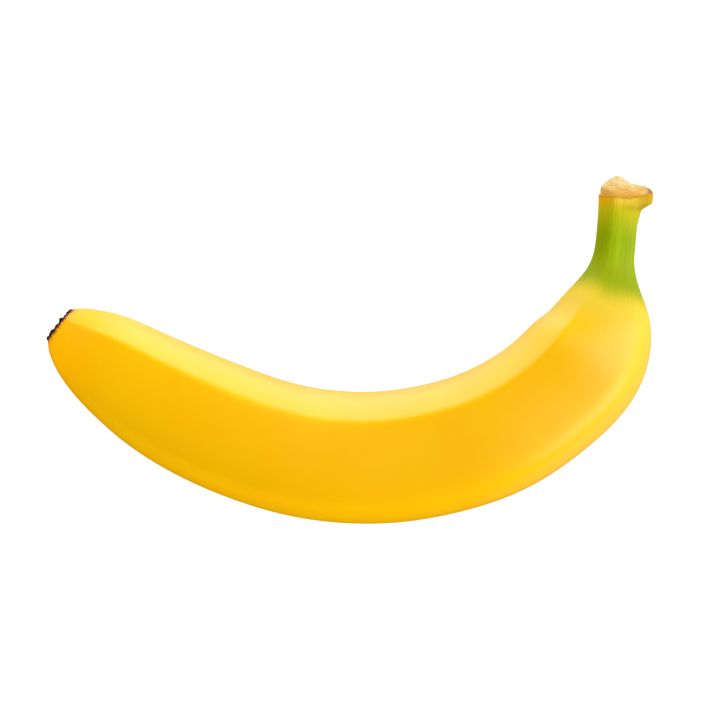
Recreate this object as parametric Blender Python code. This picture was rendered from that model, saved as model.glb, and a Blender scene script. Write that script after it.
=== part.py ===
"""One ripe banana with its stem, lying on its side as it comes to rest on a table.

The fruit grew as one piece, so it is one closed solid: the ribbed peel, the neck, the stem with the torn crown
tissue at its end, and the dried blossom scar at the other end.

Tables and sizes are in millimetres and degrees. The mesh is made in metres, with +Z up and the table at z = 0.
+X runs from the blossom end to the stem, +Y is the hollow side of the bend, and the origin is on the table, under
the middle of the fruit's bounding box. "Along" is the distance on the centreline from the blossom scar.
"""

import math

import bmesh
import bpy
import numpy as np
from mathutils import Vector, noise

NAME = "banana"
METRES = 0.001

# The centreline seen from above, x and y, from the middle of the blossom scar to the middle of the cut stem.
CENTRELINE = [
    (-76.85, 6.8),
    (-70.4, 2.3),
    (-63.9, -2.7),
    (-51.1, -11.4),
    (-32.9, -20.5),
    (-13.6, -26.4),
    (6.4, -28.3),
    (26.3, -25.5),
    (40.4, -20.1),
    (53.1, -11.7),
    (60.6, -4.9),
    (66.3, 3.9),
    (69.2, 13.8),
    (71.0, 24.0),
    (72.5, 40.9),
]

# Half of the width seen from above, as (along, half width).
HALF_WIDTHS = [
    (0.0, 5.7),
    (1.5, 7.5),
    (4.0, 8.8),
    (8.0, 10.75),
    (12.0, 12.3),
    (22.0, 14.7),
    (36.0, 16.0),
    (60.0, 17.1),
    (100.0, 17.7),
    (128.0, 17.35),
    (147.0, 17.45),
    (158.0, 16.5),
    (166.0, 14.5),
    (173.0, 11.5),
    (178.5, 8.2),
    (183.5, 6.0),
    (190.0, 5.35),
    (200.0, 5.5),
    (206.0, 5.95),
]

# Height of the underside above the table, as (along, height). The fruit lies on its three lowest places, where the
# figures fall below zero: there the peel is pressed flat against the table.
UNDERSIDE = [
    (0.0, 3.4),
    (12.0, 1.3),
    (28.0, -0.22),
    (65.0, 0.35),
    (104.0, -0.22),
    (133.0, 0.35),
    (158.0, -0.22),
    (172.0, 1.6),
    (184.0, 5.2),
    (206.0, 7.0),
]

# How far the ribs are rolled about the centreline, towards the hollow side, as (along, degrees).
ROLLS = [
    (0.0, 30.0),
    (18.0, 24.0),
    (60.0, 22.5),
    (110.0, 21.5),
    (166.0, 20.0),
    (182.0, 29.0),
    (206.0, 36.0),
]

# The five ribs, in degrees round the section from the outer side of the bend and up, before the roll, and how
# crisp each is: a large number is a sharp rib.
RIB_TURNS = [0.0, 72.0, 144.0, 216.0, 288.0]
RIB_CRISPNESS = [13.0, 9.0, 28.0, 22.0, 12.0]
ANGULAR_SHARE = 0.62  # the rest of the section is round, which bows the faces between the ribs outwards

# The peel's edge at the cut stem. It stands higher at the lower side and at the lip.
EDGE_LEAN_LENGTH = 7.0  # length of stem over which the rings lean over to the edge
EDGE_REAR_RISE = 2.2
EDGE_REAR_POWER = 2.5  # a large number keeps the rise near the lower side
EDGE_LIP_RISE = 1.4
EDGE_LIP_START = 3.0  # from the middle towards the outer side of the bend
EDGE_LIP_END = 8.0

# The torn crown tissue stands on the peel's edge as an oblique stump. Its height at the lower side, as (place from
# the middle towards the outer side of the bend, height). It comes down to nothing at the upper side.
STUMP_HEIGHTS = [
    (-6.0, 5.2),
    (-3.2, 5.6),
    (-1.6, 6.2),
    (1.2, 5.9),
    (4.2, 4.6),
    (7.4, 4.9),
    (9.0, 4.2),
]
STUMP_LIP_REACH = 3.0  # how much nearer to the peel's edge the stump's wall is at the lip

# The lip that the crown of the bunch left on the outer side of the stem's end.
LIP_REACH = 3.5
LIP_FULL = 1.95  # below the cut
LIP_START = 3.7  # below the cut
LIP_FOOT = 8.0  # below the cut: from here up to the lip the stem swells a little
LIP_FOOT_SHARE = 0.25
LIP_TURN = 8.0
LIP_ROUNDING = 1.6

# Rings of the torn tissue, from the peel's edge to the middle, as (share of the edge's radius, height, share of the
# stump's height), and then the height of its middle and the depth of its lumps.
CUT_RINGS = [
    (0.96, -0.12, 0.0),
    (0.93, 0.05, 0.3),
    (0.88, 0.30, 1.0),
    (0.76, 0.50, 1.0),
    (0.60, 0.50, 1.0),
    (0.42, 0.45, 1.0),
    (0.20, 0.55, 1.0),
]
CUT_MIDDLE = 0.5
CUT_RELIEF = 0.42

# Rings of the blossom scar, as (share of the edge's radius, height), and its middle, lumps and scallops.
SCAR_RINGS = [(0.955, -0.12), (0.93, 0.6), (0.82, 1.0), (0.62, 0.8), (0.40, 0.5), (0.2, 0.7)]
SCAR_MIDDLE = 1.0
SCAR_RELIEF = 0.25
SCAR_SCALLOPS = 13
SCAR_SCALLOP_DEPTH = 0.2

# Where the peel turns green, as the distance along the centreline.
STEM_START = 177.0

# Mesh density.
RINGS = 78
END_CLUSTERING = 0.42
COLUMNS_PER_FACE = 8
RIB_CLUSTERING = 0.6
LIP_RINGS = 6

MATERIALS = {
    "peel": ((0.93, 0.47, 0.010), 0.42),
    "stem_green": ((0.34, 0.47, 0.012), 0.45),
    "torn_crown": ((0.72, 0.47, 0.20), 0.85),
    "blossom_scar": ((0.035, 0.020, 0.014), 0.8),
}


def smooth_through(stations, places):
    """A natural cubic spline through (place, value) stations, read at other places."""
    at = np.array([station[0] for station in stations], float)
    value = np.array([station[1] for station in stations], float)
    gaps = np.diff(at)
    slopes = np.diff(value) / gaps
    count = len(at)
    system = np.eye(count)
    right = np.zeros(count)
    for i in range(1, count - 1):
        system[i, i - 1 : i + 2] = gaps[i - 1], 2 * (gaps[i - 1] + gaps[i]), gaps[i]
        right[i] = 6 * (slopes[i] - slopes[i - 1])
    bend = np.linalg.solve(system, right)
    places = np.clip(places, at[0], at[-1])
    i = np.clip(np.searchsorted(at, places) - 1, 0, count - 2)
    left, ahead = places - at[i], at[i + 1] - places
    gap = gaps[i]
    curve = (bend[i] * ahead**3 + bend[i + 1] * left**3) / (6 * gap)
    chord = (value[i] / gap - bend[i] * gap / 6) * ahead + (value[i + 1] / gap - bend[i + 1] * gap / 6) * left
    return curve + chord


def smoothstep(low, high, value):
    """0 below low, 1 above high and a smooth rise between them."""
    share = np.clip((value - low) / (high - low), 0, 1)
    return share * share * (3 - 2 * share)


def centreline():
    """Points every 0.1 mm or so on the centreline seen from above, and how far along each is."""
    points = np.array(CENTRELINE)
    chords = np.concatenate([[0], np.cumsum(np.linalg.norm(np.diff(points, axis=0), axis=1))])
    fine = np.linspace(0, chords[-1], 2001)
    line = np.stack([smooth_through(list(zip(chords, points[:, axis])), fine) for axis in (0, 1)], axis=1)
    along = np.concatenate([[0], np.cumsum(np.linalg.norm(np.diff(line, axis=0), axis=1))])
    return line, along


def section_turns():
    """The angle of each column round the section, before the roll. Columns crowd towards the ribs."""
    turns = []
    for i, start in enumerate(RIB_TURNS):
        end = RIB_TURNS[(i + 1) % len(RIB_TURNS)] + (360 if i + 1 == len(RIB_TURNS) else 0)
        share = np.arange(COLUMNS_PER_FACE) / COLUMNS_PER_FACE
        share = share - RIB_CLUSTERING * np.sin(2 * math.pi * share) / (2 * math.pi)
        turns.append(start + (end - start) * share)
    return np.radians(np.concatenate(turns))


def section_radius(turns):
    """The section's radius at each angle, with its sharpest rib near 1: a rounded pentagon blended with a circle."""
    ribs = np.radians(RIB_TURNS)
    faces = ribs + math.pi / len(ribs)
    nearness = np.maximum(0, np.cos(turns[:, None] - ribs[None])) ** 6
    crispness = (nearness @ np.array(RIB_CRISPNESS)) / nearness.sum(axis=1)
    lean = np.maximum(1e-9, np.cos(turns[:, None] - faces[None]))
    pentagon = (lean ** crispness[:, None]).sum(axis=1) ** (-1 / crispness) * math.cos(math.pi / len(ribs))
    return ANGULAR_SHARE * pentagon + (1 - ANGULAR_SHARE) * 0.93


def ring_places(length):
    """How far along each ring of the peel is. Rings crowd towards both ends, and once more at the lip."""
    share = np.linspace(0, 1, RINGS)
    share = share - END_CLUSTERING * np.sin(2 * math.pi * share) / (2 * math.pi)
    body = share * (length - LIP_START - 0.6)
    lip = np.linspace(length - LIP_START, length, LIP_RINGS + 1)
    return np.concatenate([body, lip])


def lip_bulge(turns, below_cut):
    """How far the lip stands out of the stem at these angles, this far below the cut."""
    facing = np.maximum(0, np.cos(turns - math.radians(LIP_TURN))) ** LIP_ROUNDING
    lip = (1 - LIP_FOOT_SHARE) * (1 - smoothstep(LIP_FULL, LIP_START, below_cut))
    foot = LIP_FOOT_SHARE * (1 - smoothstep(LIP_FULL, LIP_FOOT, below_cut))
    return LIP_REACH * facing * (lip + foot)


def edge_rise(outward, upward, half_depth):
    """Height of the peel's edge over its lowest place, at a point of the stem's section."""
    lowness = (1 - np.clip(upward / half_depth, -1, 1)) / 2
    return EDGE_REAR_RISE * lowness**EDGE_REAR_POWER + EDGE_LIP_RISE * smoothstep(EDGE_LIP_START, EDGE_LIP_END, outward)


def stump_rise(outward, upward, half_depth):
    """Height of the oblique stump of torn tissue, at a point of the stem's section."""
    lowness = (1 - np.clip(upward / half_depth, -1, 1)) / 2
    return smooth_through(STUMP_HEIGHTS, outward) * lowness


def lumps(points, size, seed):
    """Smooth bumps between -1 and 1, about size across, at each point."""
    return np.array([noise.noise(Vector(point / size) + Vector((seed, 0, 0))) for point in points])


class Loft:
    """The rings of the fruit in order, each an array of points, with the material of the band that ends there."""

    def __init__(self):
        self.rings = []
        self.bands = []

    def add(self, ring, band):
        self.rings.append(ring)
        self.bands.append(band)


def peel_rings():
    """The rings of the peel from the blossom scar to the cut stem, each with its centre and direction."""
    line, line_along = centreline()
    length = line_along[-1]
    base_turns = section_turns()
    radius = section_radius(base_turns)
    rings = []
    for along in ring_places(length):
        x, y = (np.interp(along, line_along, line[:, axis]) for axis in (0, 1))
        before, after = max(along - 0.5, 0), min(along + 0.5, length)
        step = [np.interp(after, line_along, line[:, k]) - np.interp(before, line_along, line[:, k]) for k in (0, 1)]
        forward = Vector((step[0], step[1], 0)).normalized()
        outward = Vector((forward.y, -forward.x, 0))
        turns = base_turns - math.radians(float(smooth_through(ROLLS, along)))
        across, up = radius * np.cos(turns), radius * np.sin(turns)
        scale = float(smooth_through(HALF_WIDTHS, along)) * 2 / (across.max() - across.min())
        across = (across - (across.max() + across.min()) / 2) * scale
        up = up * scale
        rise = -up.min() + float(smooth_through(UNDERSIDE, along))
        half_depth = (up.max() - up.min()) / 2
        below_cut = length - along
        bulge = lip_bulge(turns, below_cut)
        across = across + bulge * np.cos(turns)
        up = up + bulge * np.sin(turns)
        lean = 1 - smoothstep(0, EDGE_LEAN_LENGTH, below_cut)
        ahead = lean * edge_rise(across, up, half_depth)
        centre = np.array([x, y, rise])
        forward, outward = np.array(forward), np.array(outward)
        ring = centre + across[:, None] * outward + ahead[:, None] * forward
        ring[:, 2] += up
        rings.append((along, ring, centre, forward, outward, half_depth))
    return rings


def scar_face(edge, forward):
    """Rings of the dried blossom scar, from its middle to the peel's edge."""
    turns = section_turns()
    scallops = SCAR_SCALLOP_DEPTH * np.cos(SCAR_SCALLOPS * turns + 1.6 * np.sin(2 * turns + 0.7))
    middle = edge.mean(axis=0)
    rings = []
    for share, height in SCAR_RINGS:
        ring = middle + (edge - middle) * share
        weight = min(1, height + 0.2)
        relief = height + SCAR_RELIEF * lumps(ring, 1.9, 3.0) * weight
        relief = relief + scallops * weight * smoothstep(0.45, 0.85, share)
        rings.append(ring - relief[:, None] * forward)
    tip = middle - SCAR_MIDDLE * forward
    return rings[::-1], tip


def cut_face(edge, centre, forward, outward, half_depth):
    """Rings of the torn crown tissue, from the stem's edge to its middle."""
    middle = edge.mean(axis=0)
    lip = smoothstep(EDGE_LIP_START, EDGE_LIP_END, (edge - centre) @ outward)
    rings = []
    for share, height, stump in CUT_RINGS:
        shares = share ** (1 / (1 + STUMP_LIP_REACH * lip))
        flat = middle + (edge - middle) * shares[:, None]
        flat = flat - ((flat - centre) @ forward)[:, None] * forward
        across, up = (flat - centre) @ outward, flat[:, 2] - centre[2]
        rise = (1 - stump) * edge_rise(across, up, half_depth) + stump * stump_rise(across, up, half_depth)
        relief = rise + height + CUT_RELIEF * lumps(flat, 2.4, 11.0) * min(1, abs(height) + 0.2)
        rings.append(flat + relief[:, None] * forward)
    tip = rings[-1].mean(axis=0) + (CUT_MIDDLE - CUT_RINGS[-1][1]) * forward
    return rings, tip


def all_rings():
    """Every ring of the fruit with its two end points, pressed flat where it would pass through the table."""
    loft = Loft()
    peel = peel_rings()
    _, first, _, forward, _, _ = peel[0]
    scar, scar_tip = scar_face(first, forward)
    for ring in scar:
        loft.add(ring, "blossom_scar")
    for along, ring, *_ in peel:
        loft.add(ring, "stem_green" if along > STEM_START else "peel")
    _, last, centre, forward, outward, half_depth = peel[-1]
    cut, cut_tip = cut_face(last, centre, forward, outward, half_depth)
    for ring in cut:
        loft.add(ring, "torn_crown")
    points = np.concatenate(loft.rings + [scar_tip[None], cut_tip[None]])
    points[:, 2] = np.maximum(points[:, 2], 0)
    low, high = points.min(axis=0), points.max(axis=0)
    points[:, :2] -= (low[:2] + high[:2]) / 2
    return loft, points


def make_material(name, colour, roughness):
    """A plain finish with a colour in linear light."""
    material = bpy.data.materials.new(name)
    material.use_nodes = True
    shader = material.node_tree.nodes["Principled BSDF"]
    shader.inputs["Base Color"].default_value = (*colour, 1)
    shader.inputs["Roughness"].default_value = roughness
    shader.inputs["Metallic"].default_value = 0
    return material


def make_banana():
    """The whole fruit as one closed mesh object."""
    loft, points = all_rings()
    columns = len(loft.rings[0])
    mesh = bmesh.new()
    corners = [mesh.verts.new(Vector(point) * METRES) for point in points]
    scar_tip, cut_tip = corners[-2], corners[-1]
    slots = list(MATERIALS)
    for i in range(len(loft.rings) - 1):
        for k in range(columns):
            after = (k + 1) % columns
            near, far = i * columns, (i + 1) * columns
            face = mesh.faces.new([corners[near + k], corners[near + after], corners[far + after], corners[far + k]])
            scar_side = loft.bands[i] == "blossom_scar"
            face.material_index = slots.index(loft.bands[i] if scar_side else loft.bands[i + 1])
    last = (len(loft.rings) - 1) * columns
    for k in range(columns):
        after = (k + 1) % columns
        mesh.faces.new([scar_tip, corners[after], corners[k]]).material_index = slots.index("blossom_scar")
        mesh.faces.new([cut_tip, corners[last + k], corners[last + after]]).material_index = slots.index("torn_crown")
    bmesh.ops.recalc_face_normals(mesh, faces=mesh.faces)
    data = bpy.data.meshes.new(NAME)
    mesh.to_mesh(data)
    mesh.free()
    data.shade_smooth()
    for name, (colour, roughness) in MATERIALS.items():
        data.materials.append(make_material(name, colour, roughness))
    return bpy.data.objects.new(NAME, data)


def main():
    for old in list(bpy.data.objects):
        bpy.data.objects.remove(old)
    fruit = bpy.data.collections.new(NAME)
    bpy.context.scene.collection.children.link(fruit)
    fruit.objects.link(make_banana())


main()
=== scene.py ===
"""A ripe banana lying on its side on a white table top, seen from straight above in soft studio light.

The visible fruit is three pieces made from one form: the ribbed peel with its neck and stem, the torn
crown tissue at the stem's cut end, and the dried blossom scar at the other end. Tables and sizes are in
millimetres and degrees, and the meshes are made in metres in the frame's own coordinates. "Along" is the
distance on the centreline from the blossom scar, and "turn" is the angle round the section, from the
outer side of the bend and up.
"""

import logging
import math
from dataclasses import dataclass, field
from enum import Enum

import bpy
import numpy as np
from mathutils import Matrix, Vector, noise


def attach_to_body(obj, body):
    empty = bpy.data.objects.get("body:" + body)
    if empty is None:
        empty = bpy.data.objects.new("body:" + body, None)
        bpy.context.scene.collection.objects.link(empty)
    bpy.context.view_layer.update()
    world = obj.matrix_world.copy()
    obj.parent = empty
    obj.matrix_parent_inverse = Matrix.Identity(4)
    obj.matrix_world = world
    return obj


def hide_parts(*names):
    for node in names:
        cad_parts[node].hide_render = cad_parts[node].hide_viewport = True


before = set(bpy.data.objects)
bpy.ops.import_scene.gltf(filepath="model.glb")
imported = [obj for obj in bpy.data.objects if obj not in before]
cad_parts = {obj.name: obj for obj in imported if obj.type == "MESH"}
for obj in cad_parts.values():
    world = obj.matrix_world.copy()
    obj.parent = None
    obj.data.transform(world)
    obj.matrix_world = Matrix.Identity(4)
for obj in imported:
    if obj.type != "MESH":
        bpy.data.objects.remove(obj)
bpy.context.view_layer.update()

METRES = 0.001
NODE = "banana"
BODY = "root"
LOG = logging.getLogger("banana")

Colour = tuple[float, float, float]
Socket = bpy.types.NodeSocket
Span = tuple[float, float]
Stations = tuple[tuple[float, float], ...]
Bumps = tuple[tuple[float, float, float], ...]

WHITE = (1.0, 1.0, 1.0, 1.0)
LEAST_CRUST = 0.2


class Piece(Enum):
    """The visible pieces of the fruit, each named as its mesh object is."""

    PEEL = "peel"
    TORN_CROWN = "torn_crown"
    BLOSSOM_SCAR = "blossom_scar"


# Curves and small numeric helpers


def smoothstep(low: float, high: float, value: np.ndarray | float) -> np.ndarray:
    """Gives a smooth rise from 0 to 1.

    Args:
        low: Where the rise starts.
        high: Where the rise ends.
        value: The places to read.

    Returns:
        The share risen at each place.
    """
    share = np.clip((np.asarray(value, float) - low) / (high - low), 0, 1)
    return share * share * (3 - 2 * share)


def lumps(points: np.ndarray, size: float, seed: float) -> np.ndarray:
    """Gives smooth bumps in space.

    Args:
        points: Places in millimetres, with their coordinates in the last axis.
        size: About how far apart the bumps are, in millimetres.
        seed: Picks another set of bumps.

    Returns:
        Heights between -1 and 1, in the shape of the points without their last axis.
    """
    flat = points.reshape(-1, 3)
    heights = [noise.noise(Vector(point / size) + Vector((seed, 0, 0))) for point in flat]
    return np.array(heights).reshape(points.shape[:-1])


def all_bumps(points: np.ndarray, bumps: Bumps) -> np.ndarray:
    """Adds up bumps of several sizes.

    Args:
        points: Places in millimetres, with their coordinates in the last axis.
        bumps: The depth, size and seed of each set of bumps.

    Returns:
        The height at each point, in millimetres.
    """
    return sum(depth * lumps(points, size, seed) for depth, size, seed in bumps)


def crust_weight(height: float) -> float:
    """Gives how strong a dry crust's lumps are, weakest where its height is near zero."""
    return min(1.0, abs(height) + LEAST_CRUST)


def direction(azimuth: float, elevation: float) -> Vector:
    """Gives the way from the fruit to a place in the studio.

    Args:
        azimuth: The angle round the vertical, from the x axis, in degrees.
        elevation: The angle over the table top, in degrees.

    Returns:
        A vector of length 1.
    """
    turn, rise = math.radians(azimuth), math.radians(elevation)
    level = math.cos(rise)
    return Vector((level * math.cos(turn), level * math.sin(turn), math.sin(rise)))


@dataclass(frozen=True)
class Curve:
    """A natural cubic spline through (place, value) stations."""

    stations: Stations

    def at(self, places: np.ndarray | float) -> np.ndarray:
        """Reads the curve.

        Args:
            places: Where to read it. Places beyond the ends read as the ends.

        Returns:
            The value at each place.
        """
        knots = np.array([station[0] for station in self.stations], float)
        value = np.array([station[1] for station in self.stations], float)
        gaps = np.diff(knots)
        slopes = np.diff(value) / gaps
        count = len(knots)
        system = np.eye(count)
        right = np.zeros(count)
        for i in range(1, count - 1):
            system[i, i - 1 : i + 2] = gaps[i - 1], 2 * (gaps[i - 1] + gaps[i]), gaps[i]
            right[i] = 6 * (slopes[i] - slopes[i - 1])
        bend = np.linalg.solve(system, right)
        where = np.clip(np.asarray(places, float), knots[0], knots[-1])
        i = np.clip(np.searchsorted(knots, where) - 1, 0, count - 2)
        left, ahead, gap = where - knots[i], knots[i + 1] - where, gaps[i]
        curve = (bend[i] * ahead**3 + bend[i + 1] * left**3) / (6 * gap)
        chord = (value[i] / gap - bend[i] * gap / 6) * ahead
        return curve + chord + (value[i + 1] / gap - bend[i + 1] * gap / 6) * left


# The form of the fruit


@dataclass(frozen=True)
class Section:
    """The five-ribbed section of the fruit, as a rounded pentagon blended with a circle."""

    rib_turns: tuple[float, ...] = (0.0, 72.0, 144.0, 216.0, 288.0)
    rib_crispness: tuple[float, ...] = (13.0, 7.0, 28.0, 22.0, 12.0)
    circle_radius: float = 0.93
    nearness_power: int = 6
    least_lean: float = 1e-9

    def columns(self, per_face: int, clustering: float) -> np.ndarray:
        """Spaces the columns round the section so that they crowd towards the ribs.

        Args:
            per_face: How many columns each face between two ribs has.
            clustering: How strongly they crowd, from 0 to 1.

        Returns:
            The turn of each column, in radians.
        """
        face = 360 / len(self.rib_turns)
        share = np.arange(per_face) / per_face
        share = share - clustering * np.sin(2 * math.pi * share) / (2 * math.pi)
        return np.radians(np.concatenate([start + face * share for start in self.rib_turns]))

    def radius(self, turns: np.ndarray, angularity: float) -> np.ndarray:
        """Gives the section's radius.

        Args:
            turns: Angles before the roll, in radians.
            angularity: The pentagon's share in the blend, from 0 to 1.

        Returns:
            The radius at each turn, near 1.
        """
        ribs = np.radians(self.rib_turns)
        half_face = math.pi / len(ribs)
        near = np.maximum(0, np.cos(turns[:, None] - ribs[None])) ** self.nearness_power
        crispness = (near @ np.array(self.rib_crispness)) / near.sum(axis=1)
        lean = np.maximum(self.least_lean, np.cos(turns[:, None] - ribs[None] - half_face))
        pentagon = (lean ** crispness[:, None]).sum(axis=1) ** (-1 / crispness) * math.cos(half_face)
        return angularity * pentagon + (1 - angularity) * self.circle_radius

    def ribness(self, turns: np.ndarray, width: float) -> np.ndarray:
        """Gives how near each turn is to a rib.

        Args:
            turns: Angles before the roll, in radians.
            width: How wide a rib's crest counts, in degrees.

        Returns:
            1 on a rib, falling towards 0 between the ribs.
        """
        ribs = np.radians(self.rib_turns)
        away = np.abs((turns[:, None] - ribs[None] + math.pi) % (2 * math.pi) - math.pi).min(axis=1)
        return np.exp(-((away / math.radians(width)) ** 2))


@dataclass(frozen=True)
class Ring:
    """One ring of the fruit: its points, its middle and its own directions."""

    along: float
    points: np.ndarray
    centre: np.ndarray
    forward: np.ndarray
    outward: np.ndarray
    half_depth: float


@dataclass
class FruitForm:
    """The form that the three visible pieces share.

    It holds the centreline, girth, roll, underside, lip and oblique cut, and the shift that lays it over the
    CAD solid's box.
    """

    section: Section = field(default_factory=Section)
    centreline: Stations = (
        (-76.85, 6.8),
        (-70.55, 2.08),
        (-63.85, -2.63),
        (-51.0, -11.15),
        (-32.75, -20.2),
        (-13.6, -26.4),
        (6.4, -28.3),
        (26.3, -25.5),
        (40.6, -20.4),
        (53.35, -12.15),
        (60.85, -5.1),
        (66.45, 3.8),
        (69.2, 13.8),
        (71.0, 24.0),
        (72.5, 40.9),
    )
    half_widths: Curve = Curve(
        (
            (0.0, 5.7),
            (1.5, 7.1),
            (4.0, 8.75),
            (8.0, 10.7),
            (12.0, 12.15),
            (22.0, 14.35),
            (36.0, 16.2),
            (60.0, 17.2),
            (100.0, 17.65),
            (128.0, 17.5),
            (147.0, 17.1),
            (158.0, 16.5),
            (166.0, 14.5),
            (173.0, 11.5),
            (178.5, 8.2),
            (183.5, 6.0),
            (190.0, 5.35),
            (200.0, 5.5),
            (206.0, 5.95),
        )
    )
    underside: Curve = Curve(
        (
            (0.0, 3.4),
            (12.0, 1.3),
            (28.0, -0.22),
            (65.0, 0.35),
            (104.0, -0.22),
            (133.0, 0.35),
            (158.0, -0.22),
            (172.0, 1.6),
            (184.0, 5.2),
            (206.0, 7.0),
        )
    )
    rolls: Curve = Curve(
        (
            (0.0, 30.0),
            (18.0, 24.0),
            (60.0, 21.5),
            (110.0, 20.5),
            (152.0, 18.0),
            (168.0, 19.0),
            (182.0, 26.0),
            (206.0, 34.0),
        )
    )
    angularity: Curve = Curve(
        (
            (0.0, 0.62),
            (140.0, 0.62),
            (168.0, 0.62),
            (184.0, 0.48),
            (206.0, 0.42),
        )
    )
    edge_lean_length: float = 7.0
    edge_rear_rise: float = 2.2
    edge_rear_power: float = 2.5
    edge_lip_rise: float = 1.4
    edge_lip_start: float = 3.0
    edge_lip_end: float = 8.0
    stump_heights: Curve = Curve(
        (
            (-6.0, 5.2),
            (-3.2, 5.6),
            (-1.6, 6.2),
            (1.2, 5.9),
            (4.2, 4.3),
            (7.4, 4.3),
            (9.0, 3.7),
        )
    )
    stump_lip_reach: float = 3.0
    lip_reach: float = 3.5
    lip_full: float = 1.95
    lip_start: float = 3.7
    lip_foot: float = 8.0
    lip_foot_share: float = 0.25
    lip_turn: float = 8.0
    lip_rounding: float = 2.8
    shift: tuple[float, float, float] = (-0.516, -0.562, 0.0)
    line_points: int = 2001
    direction_reach: float = 0.5
    length: float = field(init=False)

    def __post_init__(self) -> None:
        """Lays the centreline out finely."""
        knots = np.array(self.centreline)
        chords = np.concatenate([[0], np.cumsum(np.linalg.norm(np.diff(knots, axis=0), axis=1))])
        fine = np.linspace(0, chords[-1], self.line_points)
        axes = [Curve(tuple(zip(chords, knots[:, axis]))).at(fine) for axis in (0, 1)]
        self._line = np.stack(axes, axis=1)
        steps = np.linalg.norm(np.diff(self._line, axis=0), axis=1)
        self._line_along = np.concatenate([[0], np.cumsum(steps)])
        self.length = float(self._line_along[-1])

    def place(self, along: float) -> np.ndarray:
        """Gives the centreline's x and y at this distance along it."""
        return np.array([np.interp(along, self._line_along, self._line[:, axis]) for axis in (0, 1)])

    def rolled(self, turns: np.ndarray, along: float) -> np.ndarray:
        """Gives the columns' turns after the ribs are rolled about the centreline."""
        return turns - math.radians(float(self.rolls.at(along)))

    def lip_bulge(self, rolled: np.ndarray, below_cut: float) -> np.ndarray:
        """Gives how far the lip of crown tissue stands out of the stem.

        Args:
            rolled: Angles after the roll, in radians.
            below_cut: Distance from the stem's cut end.

        Returns:
            The bulge at each angle.
        """
        facing = np.maximum(0, np.cos(rolled - math.radians(self.lip_turn))) ** self.lip_rounding
        lip = (1 - self.lip_foot_share) * (1 - smoothstep(self.lip_full, self.lip_start, below_cut))
        foot = self.lip_foot_share * (1 - smoothstep(self.lip_full, self.lip_foot, below_cut))
        return self.lip_reach * facing * (lip + foot)

    def edge_rise(self, outward: np.ndarray, upward: np.ndarray, half_depth: float) -> np.ndarray:
        """Gives how far the peel's edge stands over its lowest place.

        Args:
            outward: Distance from the stem's middle towards the outer side of the bend.
            upward: Distance from the stem's middle upwards.
            half_depth: Half of the stem's depth.

        Returns:
            The height at each point, along the stem.
        """
        lowness = (1 - np.clip(upward / half_depth, -1, 1)) / 2
        lip = smoothstep(self.edge_lip_start, self.edge_lip_end, outward)
        return self.edge_rear_rise * lowness**self.edge_rear_power + self.edge_lip_rise * lip

    def stump_rise(self, outward: np.ndarray, upward: np.ndarray, half_depth: float) -> np.ndarray:
        """Gives how far the oblique stump of torn tissue stands over the peel's lowest edge.

        Args:
            outward: Distance from the stem's middle towards the outer side of the bend.
            upward: Distance from the stem's middle upwards.
            half_depth: Half of the stem's depth.

        Returns:
            The height at each point, along the stem.
        """
        lowness = (1 - np.clip(upward / half_depth, -1, 1)) / 2
        return self.stump_heights.at(outward) * lowness

    def ring(self, along: float, turns: np.ndarray, relief: np.ndarray | None = None) -> Ring:
        """Makes one ring of the peel.

        Args:
            along: Distance from the blossom scar.
            turns: The columns' turns before the roll, in radians.
            relief: How far each column stands out of the plain form, or None.

        Returns:
            The ring, pressed flat where it would pass through the table.
        """
        before = max(along - self.direction_reach, 0)
        after = min(along + self.direction_reach, self.length)
        step = self.place(after) - self.place(before)
        step = step / np.linalg.norm(step)
        forward = np.array([step[0], step[1], 0.0])
        outward = np.array([step[1], -step[0], 0.0])
        rolled = self.rolled(turns, along)
        radius = self.section.radius(turns, float(self.angularity.at(along)))
        across, up = radius * np.cos(rolled), radius * np.sin(rolled)
        scale = float(self.half_widths.at(along)) * 2 / (across.max() - across.min())
        across = (across - (across.max() + across.min()) / 2) * scale
        up = up * scale
        rise = -up.min() + float(self.underside.at(along))
        half_depth = (up.max() - up.min()) / 2
        below_cut = self.length - along
        bulge = self.lip_bulge(rolled, below_cut)
        if relief is not None:
            bulge = bulge + relief
        across = across + bulge * np.cos(rolled)
        up = up + bulge * np.sin(rolled)
        lean = 1 - smoothstep(0, self.edge_lean_length, below_cut)
        ahead = lean * self.edge_rise(across, up, half_depth)
        centre = np.array([*self.place(along), rise]) + self.shift
        points = centre + across[:, None] * outward + ahead[:, None] * forward
        points[:, 2] = np.maximum(points[:, 2] + up, 0)
        return Ring(along, points, centre, forward, outward, half_depth)


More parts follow.
